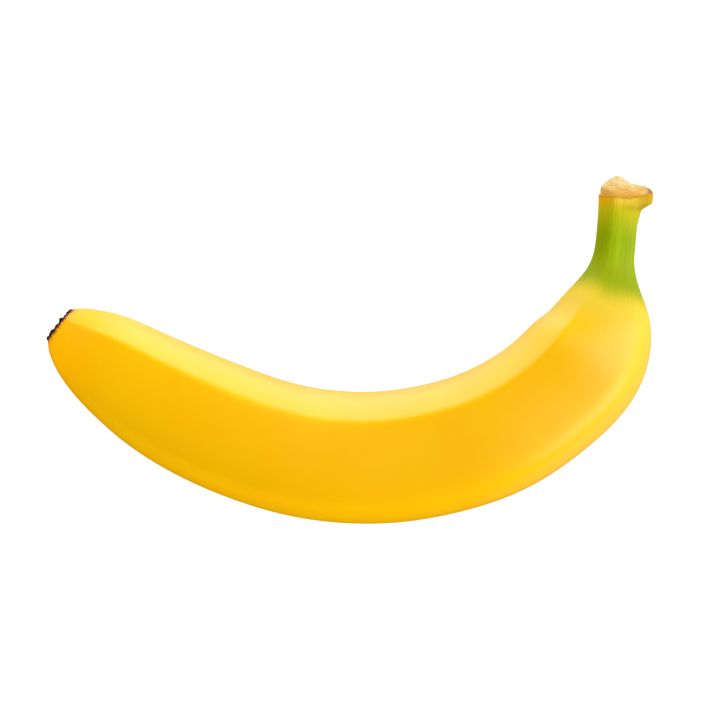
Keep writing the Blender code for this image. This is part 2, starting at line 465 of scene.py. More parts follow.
@dataclass(frozen=True)
class Loft:
    """A mesh made of rings in order, with an optional point that closes its first or last ring."""

    name: str
    rings: np.ndarray
    first_point: np.ndarray | None = None
    last_point: np.ndarray | None = None

    def build(self, marks: dict[str, np.ndarray]) -> bpy.types.Object:
        """Makes the mesh object, with its faces turned outwards.

        Args:
            marks: Named values for the finish, each one number or one vector per point of the rings.

        Returns:
            The object, linked to the scene.
        """
        count, columns = self.rings.shape[:2]
        points = list(self.rings.reshape(-1, 3))
        faces = []
        for i in range(count - 1):
            near, far = i * columns, (i + 1) * columns
            for k in range(columns):
                after = (k + 1) % columns
                faces.append((near + k, far + k, far + after, near + after))
        if self.first_point is not None:
            points.append(self.first_point)
            faces += [(len(points) - 1, k, (k + 1) % columns) for k in range(columns)]
        if self.last_point is not None:
            points.append(self.last_point)
            last = (count - 1) * columns
            faces += [(last + k, len(points) - 1, last + (k + 1) % columns) for k in range(columns)]
        mesh = bpy.data.meshes.new(self.name)
        mesh.from_pydata([Vector(point) * METRES for point in points], [], faces)
        mesh.shade_smooth()
        for mark, values in marks.items():
            self._mark(mesh, mark, values)
        obj = bpy.data.objects.new(self.name, mesh)
        bpy.context.scene.collection.objects.link(obj)
        return obj

    def _mark(self, mesh: bpy.types.Mesh, mark: str, values: np.ndarray) -> None:
        """Stores named values on the mesh's points.

        Args:
            mesh: The mesh.
            mark: The name of the values.
            values: One number or vector per point of the rings. A closing point takes its ring's mean.
        """
        vector = values.ndim == 3
        flat = values.reshape(-1, 3) if vector else values.reshape(-1)
        if self.first_point is not None:
            flat = np.concatenate([flat, values[0].mean(axis=0)[None]])
        if self.last_point is not None:
            flat = np.concatenate([flat, values[-1].mean(axis=0)[None]])
        layer = mesh.attributes.new(mark, "FLOAT_VECTOR" if vector else "FLOAT", "POINT")
        layer.data.foreach_set("vector" if vector else "value", flat.astype(np.float32).ravel())


# Finishes


class Shading:
    """A material's node tree, with short calls for the nodes that the finishes use."""

    def __init__(self, name: str) -> None:
        """Starts an empty material.

        Args:
            name: The material's name.
        """
        self.material = bpy.data.materials.new(name)
        self.material.use_nodes = True
        self.nodes = self.material.node_tree.nodes
        self.links = self.material.node_tree.links
        self.shader = self.nodes["Principled BSDF"]

    def feed(self, socket: Socket, value: object) -> None:
        """Sets a socket to a constant or links another socket to it.

        Args:
            socket: The socket that is fed.
            value: The constant, or the socket that gives the value.
        """
        if isinstance(value, Socket):
            self.links.new(value, socket)
        else:
            socket.default_value = value

    def mark(self, name: str, vector: bool = False) -> Socket:
        """Reads values stored on the mesh's points.

        Args:
            name: The name of the values.
            vector: True for vectors, False for numbers.

        Returns:
            The socket that gives them.
        """
        node = self.nodes.new("ShaderNodeAttribute")
        node.attribute_name = name
        return node.outputs["Vector" if vector else "Fac"]

    def stretch(self, vector: Socket, scale: tuple[float, float, float]) -> Socket:
        """Scales coordinates before a pattern reads them.

        Args:
            vector: The coordinates.
            scale: The factor for each of the three.

        Returns:
            The scaled coordinates.
        """
        node = self.nodes.new("ShaderNodeMapping")
        self.feed(node.inputs["Vector"], vector)
        node.inputs["Scale"].default_value = scale
        return node.outputs["Vector"]

    def clouds(self, vector: Socket, scale: float, detail: float = 2.0, roughness: float = 0.5) -> Socket:
        """Makes cloudy variation.

        Args:
            vector: The coordinates that it reads.
            scale: How many clouds there are to a unit of those coordinates.
            detail: How many finer levels it has.
            roughness: How strong the finer levels are.

        Returns:
            A number around 0.5.
        """
        node = self.nodes.new("ShaderNodeTexNoise")
        self.feed(node.inputs["Vector"], vector)
        node.inputs["Scale"].default_value = scale
        node.inputs["Detail"].default_value = detail
        node.inputs["Roughness"].default_value = roughness
        return node.outputs["Fac"]

    def rise(
        self, value: object, low: float, high: float, to_low: object = 0.0, to_high: object = 1.0
    ) -> Socket:
        """Maps a number smoothly from one range to another.

        Args:
            value: The number, or the socket that gives it.
            low: Where the rise starts.
            high: Where the rise ends.
            to_low: What it gives below the rise, as a number or a socket.
            to_high: What it gives above the rise, as a number or a socket.

        Returns:
            The mapped number.
        """
        node = self.nodes.new("ShaderNodeMapRange")
        node.interpolation_type = "SMOOTHSTEP"
        numbers = {"Value": value, "From Min": low, "From Max": high, "To Min": to_low, "To Max": to_high}
        for name, number in numbers.items():
            self.feed(node.inputs[name], number)
        return node.outputs["Result"]

    def sum(self, operation: str, first: object, second: object) -> Socket:
        """Combines two numbers.

        Args:
            operation: One of the math node's operations.
            first: The first number, or the socket that gives it.
            second: The second number, or the socket that gives it.

        Returns:
            The result.
        """
        node = self.nodes.new("ShaderNodeMath")
        node.operation = operation
        self.feed(node.inputs[0], first)
        self.feed(node.inputs[1], second)
        return node.outputs["Value"]

    def blend(self, share: object, first: object, second: object) -> Socket:
        """Mixes two colours.

        Args:
            share: How much of the second there is.
            first: The first colour, or the socket that gives it.
            second: The second colour, or the socket that gives it.

        Returns:
            The mixed colour.
        """
        node = self.nodes.new("ShaderNodeMix")
        node.data_type = "RGBA"
        self.feed(node.inputs["Factor"], share)
        for name, colour in (("A", first), ("B", second)):
            socket = next(s for s in node.inputs if s.name == name and s.type == "RGBA")
            self.feed(socket, (*colour, 1.0) if isinstance(colour, tuple) else colour)
        return next(s for s in node.outputs if s.type == "RGBA")

    def relief(self, height: Socket, depth: float, onto: Socket | None = None) -> Socket:
        """Makes fine relief.

        Args:
            height: The height, from 0 to 1.
            depth: How deep it is, in millimetres.
            onto: Coarser relief that this one adds to, or None.

        Returns:
            The normal with the relief.
        """
        node = self.nodes.new("ShaderNodeBump")
        node.inputs["Distance"].default_value = depth * METRES
        self.feed(node.inputs["Height"], height)
        if onto is not None:
            self.feed(node.inputs["Normal"], onto)
        return node.outputs["Normal"]

    def finish(self, **sockets: object) -> bpy.types.Material:
        """Feeds the shader.

        Args:
            **sockets: Shader sockets by name, with underscores for spaces, and their values.

        Returns:
            The finished material.
        """
        for name, value in sockets.items():
            self.feed(self.shader.inputs[name.replace("_", " ")], value)
        return self.material


@dataclass(frozen=True)
class PeelMarks:
    """The places and patterns that the peel's colours read.

    The place along starts at the blossom scar, and the place below at the stem's end. Across is 1 on the
    outer side of the bend and -1 on the hollow side. Outer and inner are shares that rise towards these
    sides, and side is their sum.
    """

    along: Socket
    below: Socket
    across: Socket
    inner: Socket
    outer: Socket
    side: Socket
    streaks: Socket
    fibres: Socket
    broad: Socket
    mottle: Socket


@dataclass(frozen=True)
class PeelFinish:
    """Ripe yellow peel with fine lengthwise grain, green at the neck and yellow again at the stem's end."""

    yellow: Colour = (0.80, 0.432, 0.0012)
    warm_yellow: Colour = (0.81, 0.410, 0.0010)
    # Pale yellow for the hollow side and the neck: partly the peel's paler tone, partly painted sheen.
    lemon_sheen: Colour = (0.80, 0.500, 0.0015)
    tip_orange: Colour = (0.81, 0.365, 0.0008)
    # The neck's greener yellow, with its blue raised to paint a pale highlight.
    neck: Colour = (0.64, 0.445, 0.0240)
    green: Colour = (0.285, 0.405, 0.0016)
    bright_green: Colour = (0.350, 0.490, 0.0020)
    deep_green: Colour = (0.232, 0.292, 0.0006)
    # Dull dark green for the stem's inner side: partly its own colour, partly painted shade.
    olive_shade: Colour = (0.228, 0.300, 0.0008)
    # Darker green for the stem's outer side: painted shade.
    outer_shade_green: Colour = (0.208, 0.272, 0.0010)
    stem_yellow: Colour = (0.62, 0.490, 0.0060)
    collar_pale: Colour = (0.81, 0.570, 0.0480)
    collar_orange: Colour = (0.63, 0.350, 0.0030)
    hook_orange: Colour = (0.43, 0.230, 0.0010)
    rim_brown: Colour = (0.46, 0.195, 0.0120)
    scar_brown: Colour = (0.42, 0.150, 0.0060)
    fringe: Colour = (0.070, 0.020, 0.0080)
    roughness: float = 0.31
    stem_roughness: float = 0.62
    gloss: float = 0.40
    stem_gloss: float = 0.12
    tip_gloss: float = 0.06
    rib_warmth: float = 0.10
    line_depth: float = 0.05
    pore_depth: float = 0.02
    fibre_depth: float = 0.02
    near_neck: Span = (124.0, 150.0)
    neck_sheen_span: Span = (140.0, 168.0)
    neck_span: Span = (163.0, 172.5)
    tip_span: Span = (24.0, 1.0)
    green_border: Span = (171.8, 179.2)
    deep_green_span: Span = (188.0, 180.5)
    yellowing_span: Span = (190.5, 199.8)
    fibre_span: Span = (174.0, 184.0)
    dulling: Span = (164.0, 178.0)
    gloss_fall: Span = (164.0, 177.0)
    tip_gloss_fall: Span = (22.0, 5.0)
    rim_fall: Span = (0.7, 0.0)
    scar_brown_span: Span = (1.3, 0.1)
    fringe_span: Span = (0.3, -0.1)

    def material(self, length: float) -> bpy.types.Material:
        """Makes the finish.

        Args:
            length: The fruit's length along its centreline.

        Returns:
            The peel's material.
        """
        s = Shading("peel")
        marks = self._marks(s, length)
        colour = self._body(s, marks)
        colour = self._stem(s, marks, colour)
        colour = self._collar(s, marks, colour)
        colour = self._scar_edge(s, marks, colour)
        dullness = s.rise(marks.along, *self.dulling, self.roughness, self.stem_roughness)
        shine = s.sum("ADD", s.rise(marks.mottle, 0.3, 0.7, -0.02, 0.03), dullness)
        tip = s.rise(marks.along, *self.tip_gloss_fall, self.gloss, self.tip_gloss)
        gloss = s.rise(marks.along, *self.gloss_fall, tip, self.stem_gloss)
        lines = s.relief(marks.streaks, self.line_depth)
        pores = s.relief(marks.mottle, self.pore_depth, onto=lines)
        skin = s.relief(marks.fibres, self.fibre_depth, onto=pores)
        return s.finish(Base_Color=colour, Roughness=shine, Specular_IOR_Level=gloss, Normal=skin)

    def _marks(self, s: Shading, length: float) -> PeelMarks:
        """Makes the places and patterns.

        Args:
            s: The material's node tree.
            length: The fruit's length along its centreline.

        Returns:
            What the colours read.
        """
        grain = s.mark("grain", vector=True)
        along = s.mark("along")
        across = s.mark("across")
        inner = s.rise(across, -0.05, -0.60)
        outer = s.rise(across, 0.45, 0.85)
        return PeelMarks(
            along=along,
            below=s.sum("SUBTRACT", length, along),
            across=across,
            inner=inner,
            outer=outer,
            side=s.sum("ADD", inner, outer),
            streaks=s.clouds(s.stretch(grain, (1.0, 1.0, 0.03)), 1.1, detail=4.0, roughness=0.6),
            fibres=s.clouds(s.stretch(grain, (1.0, 1.0, 0.05)), 3.2, detail=3.0),
            broad=s.clouds(grain, 0.05, detail=2.0),
            mottle=s.clouds(grain, 0.9, detail=4.0, roughness=0.65),
        )

    def _body(self, s: Shading, marks: PeelMarks) -> Socket:
        """Colours the body, paler on the hollow side and near the neck with partly painted sheen, and orange
        towards the scar.

        Args:
            s: The material's node tree.
            marks: What the colours read.

        Returns:
            The body's colour.
        """
        along, across = marks.along, marks.across
        colour = s.blend(s.rise(marks.broad, 0.35, 0.65), self.yellow, self.warm_yellow)
        colour = s.blend(s.rise(marks.streaks, 0.45, 0.75, 0.0, 0.3), colour, self.warm_yellow)
        colour = s.blend(s.sum("MULTIPLY", s.mark("ribness"), self.rib_warmth), colour, self.warm_yellow)
        # Painted sheen, partly the peel's paler tone: pale yellow on the hollow side, more of it there near
        # the neck, and over the whole body towards the neck.
        colour = s.blend(s.rise(across, -0.35, -0.75, 0.0, 0.2), colour, self.lemon_sheen)
        hollow_sheen = s.rise(across, -0.45, -0.90, 0.0, 0.45)
        colour = s.blend(s.sum("MULTIPLY", s.rise(along, *self.near_neck), hollow_sheen), colour, self.lemon_sheen)
        colour = s.blend(s.rise(along, *self.neck_sheen_span, 0.0, 0.3), colour, self.lemon_sheen)
        # Neck tint, whose raised blue is a painted highlight.
        colour = s.blend(s.rise(along, *self.neck_span), colour, self.neck)
        darker_face = s.rise(across, -0.72, -0.30, 0.3, 1.0)
        warmth = s.sum("MULTIPLY", s.rise(along, *self.tip_span, 0.0, 0.75), darker_face)
        return s.blend(warmth, colour, self.tip_orange)

    def _stem(self, s: Shading, marks: PeelMarks, body: Socket) -> Socket:
        """Turns the peel green from the neck on, darker towards both sides with partly painted shade, and
        yellowish again near the end.

        Args:
            s: The material's node tree.
            marks: What the colours read.
            body: The colour so far.

        Returns:
            The colour with the stem's.
        """
        across = marks.across
        fine_wander = s.rise(marks.streaks, 0.25, 0.75, -0.35, 0.35)
        wander = s.sum("ADD", fine_wander, s.rise(marks.broad, 0.3, 0.7, -0.5, 0.5))
        place = s.sum("ADD", marks.along, wander)
        border = s.sum("ADD", place, s.rise(across, 0.1, -0.9, 0.4, -1.6))
        # Across the stem the green is lightest on the middle face; the dull dark green on the inner side is
        # partly the stem's own colour and partly painted shade, and the darker green on the outer side is
        # painted shade.
        greens = s.blend(s.rise(across, 0.35, -0.05), self.green, self.bright_green)
        greens = s.blend(s.rise(place, *self.deep_green_span, 0.0, 0.9), greens, self.deep_green)
        greens = s.blend(s.rise(across, -0.05, -0.80), greens, self.olive_shade)
        greens = s.blend(s.rise(across, 0.20, 0.95), greens, self.outer_shade_green)
        colour = s.blend(s.rise(border, *self.green_border), body, greens)
        middle = s.rise(marks.side, 0.0, 1.0, 0.9, 0.5)
        yellowing = s.sum("MULTIPLY", s.rise(place, *self.yellowing_span), middle)
        colour = s.blend(yellowing, colour, self.stem_yellow)
        fibres = s.rise(marks.fibres, 0.5, 0.72, 0.0, 0.10)
        fibre_share = s.sum("MULTIPLY", fibres, s.rise(marks.along, *self.fibre_span))
        return s.blend(fibre_share, colour, self.stem_yellow)

    def _collar(self, s: Shading, marks: PeelMarks, stem: Socket) -> Socket:
        """Colours the stem's last millimetres: pale in the middle, orange at the sides, with a brown rim.

        Args:
            s: The material's node tree.
            marks: What the colours read.
            stem: The colour so far.

        Returns:
            The colour with the collar's.
        """
        sides = s.blend(marks.outer, self.collar_orange, self.hook_orange)
        collar = s.blend(marks.side, self.collar_pale, sides)
        place = s.sum("ADD", marks.below, s.rise(marks.streaks, 0.3, 0.7, -0.3, 0.3))
        side_reach = s.rise(marks.side, 0.0, 1.0, 3.6, 4.6)
        reach = s.sum("ADD", side_reach, s.rise(marks.outer, 0.0, 1.0, 0.0, 1.2))
        colour = s.blend(s.rise(s.sum("DIVIDE", place, reach), 1.0, 0.15, 0.0, 0.92), stem, collar)
        rim_place = s.sum("ADD", marks.below, s.rise(marks.mottle, 0.3, 0.7, -0.15, 0.15))
        return s.blend(s.rise(rim_place, *self.rim_fall, 0.0, 0.75), colour, self.rim_brown)

    def _scar_edge(self, s: Shading, marks: PeelMarks, peel: Socket) -> Socket:
        """Darkens the peel towards the blossom scar, first brown in streaks and then a nearly black fringe.

        Args:
            s: The material's node tree.
            marks: What the colours read.
            peel: The colour so far.

        Returns:
            The whole peel's colour.
        """
        place = s.sum("ADD", marks.along, s.rise(marks.mottle, 0.3, 0.7, -0.4, 0.4))
        place = s.sum("ADD", place, s.rise(marks.streaks, 0.3, 0.7, -0.35, 0.35))
        colour = s.blend(s.rise(place, *self.scar_brown_span, 0.0, 0.6), peel, self.scar_brown)
        return s.blend(s.rise(place, *self.fringe_span, 0.0, 0.95), colour, self.fringe)


@dataclass(frozen=True)
class CrownFinish:
    """Dry torn crown tissue: tan at the foot, cream higher up, with brown creases and a brown lip, painted
    highlight on its raised lumps and painted shade on its foot wall.
    """

    tan: Colour = (0.62, 0.325, 0.050)
    cream: Colour = (0.61, 0.420, 0.145)
    # Pale tissue for the highest parts, and painted highlight on the raised lumps.
    pale: Colour = (0.70, 0.580, 0.340)
    brown: Colour = (0.29, 0.120, 0.030)
    # Painted shade for the foot wall where the stump meets the peel.
    edge: Colour = (0.56, 0.260, 0.022)
    roughness: float = 0.85
    gloss: float = 0.1
    strand_relief: float = 0.45
    speck_relief: float = 0.12

    def material(self) -> bpy.types.Material:
        """Makes the finish.

        Returns:
            The torn crown's material.
        """
        s = Shading("torn_crown")
        place = s.mark("place", vector=True)
        level = s.mark("level")
        lip = s.mark("lip")
        strands = s.clouds(s.stretch(place, (0.35, 1.3, 1.0)), 1.5, detail=5.0, roughness=0.62)
        blotch = s.clouds(place, 0.42, detail=3.0, roughness=0.55)
        specks = s.clouds(place, 3.4, detail=3.0, roughness=0.6)
        height = s.sum("ADD", level, s.rise(blotch, 0.3, 0.7, -1.1, 1.1))
        height = s.sum("ADD", height, s.rise(specks, 0.3, 0.7, -0.7, 0.7))
        colour = s.blend(s.rise(height, 0.6, 3.0), self.tan, self.cream)
        colour = s.blend(s.rise(height, 2.6, 5.2, 0.0, 0.75), colour, self.pale)
        # Painted highlight: paler on the raised lumps.
        colour = s.blend(s.rise(s.mark("proud"), 0.5, 1.0, 0.0, 0.5), colour, self.pale)
        colour = s.blend(s.rise(specks, 0.48, 0.70, 0.0, 0.45), colour, self.tan)
        colour = s.blend(s.rise(strands, 0.49, 0.36, 0.0, 0.7), colour, self.tan)
        # Painted shade: darker orange-brown on the stump's outer foot wall, next to the peel.
        colour = s.blend(s.rise(s.mark("rim"), 0.93, 0.97, 0.0, 0.7), colour, self.edge)
        brown = s.sum("ADD", lip, s.rise(blotch, 0.35, 0.65, -0.15, 0.15))
        colour = s.blend(s.rise(brown, 0.10, 0.75, 0.0, 0.85), colour, self.brown)
        colour = s.blend(s.rise(strands, 0.41, 0.29, 0.0, 0.6), colour, self.brown)
        normal = s.relief(strands, self.strand_relief)
        normal = s.relief(specks, self.speck_relief, onto=normal)
        return s.finish(
            Base_Color=colour, Roughness=self.roughness, Specular_IOR_Level=self.gloss, Normal=normal
        )


@dataclass(frozen=True)
class ScarFinish:
    """Dried blossom scar: nearly black crust with warm brown in its creases and towards the peel."""

    black: Colour = (0.014, 0.006, 0.004)
    brown: Colour = (0.110, 0.032, 0.010)
    ash: Colour = (0.130, 0.080, 0.045)
    roughness: float = 0.85
    gloss: float = 0.2
    crumb_relief: float = 0.4

    def material(self) -> bpy.types.Material:
        """Makes the finish.

        Returns:
            The blossom scar's material.
        """
        s = Shading("blossom_scar")
        place = s.mark("place", vector=True)
        crumbs = s.clouds(place, 1.7, detail=5.0, roughness=0.7)
        blotch = s.clouds(place, 0.6, detail=2.0)
        colour = s.blend(s.rise(blotch, 0.42, 0.66), self.black, self.brown)
        colour = s.blend(s.rise(crumbs, 0.56, 0.76, 0.0, 0.5), colour, self.ash)
        normal = s.relief(crumbs, self.crumb_relief)
        return s.finish(
            Base_Color=colour, Roughness=self.roughness, Specular_IOR_Level=self.gloss, Normal=normal
        )


# The visible pieces


def attach(obj: bpy.types.Object) -> None:
    """Joins a finished piece to the frame.

    Args:
        obj: The piece's mesh object.
    """
    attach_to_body(obj, BODY)
    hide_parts(NODE)


@dataclass
class Peel:
    """The ribbed peel with its neck and stem, open at both ends and rolled in at its edges."""

    form: FruitForm
    per_face: int = 36
    clustering: float = 0.45
    rings: int = 300
    end_clustering: float = 0.45
    lip_rings: int = 26
    grain_radius: float = 17.0
    rib_width: float = 5.0
    swell: float = 0.10
    swell_size: float = 15.0
    swell_seed: float = 5.0
    swell_sink: float = 0.3
    furrow: float = 0.09
    furrow_size: float = 1.5
    furrow_stretch: float = 14.0
    furrow_seed: float = 21.0
    furrow_span: Span = (168.0, 184.0)
    pucker: float = 0.07
    pucker_folds: int = 17
    pucker_reach: float = 2.6
    edge_wander: float = 0.28
    wander_reach: float = 2.5
    wander_size: float = 2.1
    wander_seed: float = 31.0
    edge_roll: Stations = ((0.985, 0.10), (0.96, 0.08), (0.945, -0.15), (0.935, -0.9))

    def places(self) -> np.ndarray:
        """Places the rings so that they crowd towards both ends and at the lip.

        Returns:
            How far along each ring is.
        """
        share = np.linspace(0, 1, self.rings)
        share = share - self.end_clustering * np.sin(2 * math.pi * share) / (2 * math.pi)
        lip_start = self.form.length - self.form.lip_foot
        gap = lip_start / self.rings
        lip = np.linspace(lip_start, self.form.length, self.lip_rings)
        return np.concatenate([share * (lip_start - gap), lip])

    def relief(self, along: float, turns: np.ndarray) -> np.ndarray:
        """Gives the peel's own unevenness over the plain form.

        Args:
            along: Distance from the blossom scar.
            turns: The columns' turns before the roll, in radians.

        Returns:
            How far each column stands out, in millimetres.
        """
        east, north = self.grain_radius * np.cos(turns), self.grain_radius * np.sin(turns)
        ring = np.stack([east, north, np.full_like(turns, along)], axis=1)
        broad = self.swell * lumps(ring, self.swell_size, self.swell_seed)
        stem = float(smoothstep(*self.furrow_span, along))
        narrow = ring / (self.furrow_size, self.furrow_size, self.furrow_stretch)
        furrows = self.furrow * stem * lumps(narrow, 1.0, self.furrow_seed)
        folds = np.cos(self.pucker_folds * turns + 2 * np.sin(3 * turns))
        pucker = self.pucker * folds * math.exp(-along / self.pucker_reach)
        return broad + furrows + pucker - self.swell * self.swell_sink

    def build(self) -> bpy.types.Object:
        """Makes the peel's mesh.

        Returns:
            The peel, not yet dressed.
        """
        turns = self.form.section.columns(self.per_face, self.clustering)
        rings = [self.form.ring(along, turns, self.relief(along, turns)) for along in self.places()]
        first, last = rings[0], rings[-1]
        wander = self.edge_wander * lumps(last.points, self.wander_size, self.wander_seed)
        for ring in rings:
            share = 1 - float(smoothstep(0, self.wander_reach, self.form.length - ring.along))
            ring.points[:] += share * wander[:, None] * last.forward
        inside = self._rolled_edge(last, 1.0)
        under = self._rolled_edge(first, -1.0)
        grid = np.stack([*under[::-1], *[ring.points for ring in rings], *inside])
        ends = np.full(len(inside), self.form.length)
        places = np.concatenate([np.zeros(len(under)), [ring.along for ring in rings], ends])
        along = np.repeat(places[:, None], len(turns), axis=1)
        ribness = np.repeat(self.form.section.ribness(turns, self.rib_width)[None], len(places), axis=0)
        across = np.stack([np.cos(self.form.rolled(turns, place)) for place in places])
        circle = self.grain_radius * np.stack([np.cos(turns), np.sin(turns)], axis=1)
        grain = np.concatenate([np.repeat(circle[None], len(places), axis=0), along[:, :, None]], axis=2)
        marks = {"grain": grain, "along": along, "ribness": ribness, "across": across}
        return Loft(Piece.PEEL.value, grid).build(marks)

    def _rolled_edge(self, ring: Ring, side: float) -> list[np.ndarray]:
        """Rolls an open edge of the peel inwards.

        Args:
            ring: The edge's ring.
            side: 1 at the stem's end, -1 at the blossom scar.

        Returns:
            The rings of the rolled edge, outermost first.
        """
        middle = ring.points.mean(axis=0)
        rolled = []
        for share, ahead in self.edge_roll:
            rolled.append(middle + (ring.points - middle) * share + side * ahead * ring.forward)
        return rolled

    def dress(self, obj: bpy.types.Object) -> None:
        """Gives the peel its finish and joins it to the frame."""
        obj.data.materials.append(PeelFinish().material(self.form.length))
        attach(obj)


@dataclass
class TornCrown:
    """The torn tissue at the stem's cut end: an oblique, lumpy and stringy stump inside the peel's edge."""

    form: FruitForm
    per_face: int = 34
    clustering: float = 0.2
    foot_share: float = 0.955
    top_share: float = 0.885
    foot_rings: int = 4
    wall_rings: int = 16
    face_rings: int = 44
    profile: Curve = Curve(
        (
            (0.0, 0.5),
            (0.2, 0.55),
            (0.42, 0.45),
            (0.6, 0.5),
            (0.76, 0.5),
            (0.88, 0.3),
            (0.93, 0.05),
            (0.96, -0.12),
            (0.985, -0.9),
        )
    )
    outer_share: float = 0.985
    bumps: Bumps = ((0.42, 2.4, 11.0), (0.26, 1.15, 12.0), (0.11, 0.5, 13.0))
    wall_bumps: Bumps = ((1.0, 1.3, 41.0), (0.5, 0.6, 42.0))
    strand_depth: float = 0.16
    strand_size: float = 0.8
    strand_seed: float = 17.0
    strand_squeeze: tuple[float, float, float] = (0.5, 1.0, 2.4)
    proud_bumps: float = 1.6
    lip_mark: Span = (6.4, 8.8)
    wall_roughness: float = 0.28
    foot_tuck: float = 0.06

    def shares(self) -> np.ndarray:
        """Spaces the rings from the edge inwards.

        Returns:
            Each ring's share of the edge's radius.
        """
        foot = np.linspace(self.outer_share, self.foot_share, self.foot_rings, endpoint=False)
        wall = np.linspace(self.foot_share, self.top_share, self.wall_rings, endpoint=False)
        face = np.linspace(self.top_share, 0, self.face_rings + 1)[:-1]
        return np.concatenate([foot, wall, face])

    def build(self) -> bpy.types.Object:
        """Makes the torn crown's mesh.

        Returns:
            The torn crown, not yet dressed.
        """
        form = self.form
        turns = form.section.columns(self.per_face, self.clustering)
        edge = form.ring(form.length, turns)
        middle = edge.points.mean(axis=0)
        spokes = edge.points - middle
        reach = (edge.points - edge.centre) @ edge.outward
        on_lip = smoothstep(form.edge_lip_start, form.edge_lip_end, reach)
        grid, proud, level, lip, rim = [], [], [], [], []
        for share in self.shares():
            tucked = 1 - self.foot_tuck * float(smoothstep(self.foot_share, self.outer_share, share))
            flat = middle + spokes * (tucked * share ** (1 / (1 + form.stump_lip_reach * on_lip)))[:, None]
            flat = flat - ((flat - edge.centre) @ edge.forward)[:, None] * edge.forward
            outward, upward = (flat - edge.centre) @ edge.outward, flat[:, 2] - edge.centre[2]
            stump = 1 - float(smoothstep(self.top_share, self.foot_share, share))
            slope = (1 - stump) * form.edge_rise(outward, upward, edge.half_depth)
            slope = slope + stump * form.stump_rise(outward, upward, edge.half_depth)
            height = float(self.profile.at(share))
            weight = crust_weight(height)
            solid = flat + slope[:, None] * edge.forward
            rough = all_bumps(flat, self.bumps) * weight
            squeezed = flat * self.strand_squeeze
            strands = self.strand_depth * lumps(squeezed, self.strand_size, self.strand_seed) * weight
            wall = 4 * stump * (1 - stump) * self.wall_roughness
            ragged = wall * all_bumps(solid, self.wall_bumps)
            away = spokes / np.linalg.norm(spokes, axis=1)[:, None]
            grid.append(solid + (height + rough + strands)[:, None] * edge.forward + ragged[:, None] * away)
            # Height of the raised lumps, which the painted highlight reads.
            proud.append(height + self.proud_bumps * rough + strands)
            level.append(slope + height + rough)
            lip.append(smoothstep(*self.lip_mark, outward))
            rim.append(np.full(len(turns), share))
        points = np.stack(grid)
        tip = points[-1].mean(axis=0)
        marks = {"proud": proud, "level": level, "lip": lip, "rim": rim}
        marks = {name: np.stack(values) for name, values in marks.items()}
        return Loft(Piece.TORN_CROWN.value, points, last_point=tip).build({"place": points.copy(), **marks})

    def dress(self, obj: bpy.types.Object) -> None:
        """Gives the torn crown its finish and joins it to the frame."""
        obj.data.materials.append(CrownFinish().material())
        attach(obj)


@dataclass
class BlossomScar:
    """The dried blossom scar: a black scalloped crust with a raised rim and a small hard nub."""

    form: FruitForm
    per_face: int = 32
    clustering: float = 0.2
    rings: int = 36
    profile: Curve = Curve(
        (
            (0.0, 0.8),
            (0.2, 0.55),
            (0.4, 0.35),
            (0.62, 0.6),
            (0.82, 0.78),
            (0.93, 0.48),
            (0.965, -0.05),
            (0.985, -0.8),
        )
    )
    outer_share: float = 0.985
    scallops: int = 13
    scallop_depth: float = 0.20
    scallop_sway: float = 1.6
    scallop_start: float = 0.7
    ring_power: float = 0.9
    rim_rise: Span = (0.45, 0.85)
    rim_fall: Span = (0.955, 0.985)
    bumps: Bumps = ((0.25, 1.9, 3.0), (0.14, 0.8, 4.0), (0.07, 0.35, 6.0))

    def build(self) -> bpy.types.Object:
        """Makes the blossom scar's mesh.

        Returns:
            The blossom scar, not yet dressed.
        """
        form = self.form
        turns = form.section.columns(self.per_face, self.clustering)
        edge = form.ring(0.0, turns)
        middle = edge.points.mean(axis=0)
        shares = self.outer_share * np.linspace(0, 1, self.rings + 1)[1:] ** self.ring_power
        sway = self.scallop_sway * np.sin(2 * turns + self.scallop_start)
        scallop = np.cos(self.scallops * turns + sway)
        grid = []
        for share in shares:
            flat = middle + (edge.points - middle) * share
            height = float(self.profile.at(share))
            weight = crust_weight(height)
            rim = float(smoothstep(*self.rim_rise, share) * (1 - smoothstep(*self.rim_fall, share)))
            rough = all_bumps(flat, self.bumps) * weight
            total = height + rough + self.scallop_depth * scallop * rim
            grid.append(flat - total[:, None] * edge.forward)
        points = np.stack(grid)
        tip = middle - float(self.profile.at(0.0)) * edge.forward
        return Loft(Piece.BLOSSOM_SCAR.value, points, first_point=tip).build({"place": points.copy()})

    def dress(self, obj: bpy.types.Object) -> None:
        """Gives the blossom scar its finish and joins it to the frame."""
        obj.data.materials.append(ScarFinish().material())
        attach(obj)


# The studio


@dataclass(frozen=True)
class SoftBox:
    """A flat studio light that faces the fruit and doesn't show in its sheen."""

    name: str
    azimuth: float
    elevation: float
    power: float
    distance: float = 1.2
    size: float = 0.5

    def build(self, target: Vector) -> bpy.types.Object:
        """Places the light.

        Args:
            target: What it faces.

        Returns:
            The light.
        """
        data = bpy.data.lights.new(self.name, "AREA")
        data.shape = "SQUARE"
        data.size = self.size
        data.energy = self.power
        data.cycles.use_multiple_importance_sampling = False
        obj = bpy.data.objects.new(self.name, data)
        away = direction(self.azimuth, self.elevation)
        obj.location = target + away * self.distance
        obj.rotation_euler = away.to_track_quat("Z", "Y").to_euler()
        obj.visible_camera = False
        obj.visible_glossy = False
        bpy.context.scene.collection.objects.link(obj)
        return obj


@dataclass(frozen=True)
class Glow:
    """A soft white panel of the studio's walls, as it shows in the fruit's sheen.

    It is evenly bright out to its full angle from its middle, and fades out towards its edge angle.
    """

    azimuth: float
    elevation: float
    full_angle: float
    edge_angle: float
    strength: float


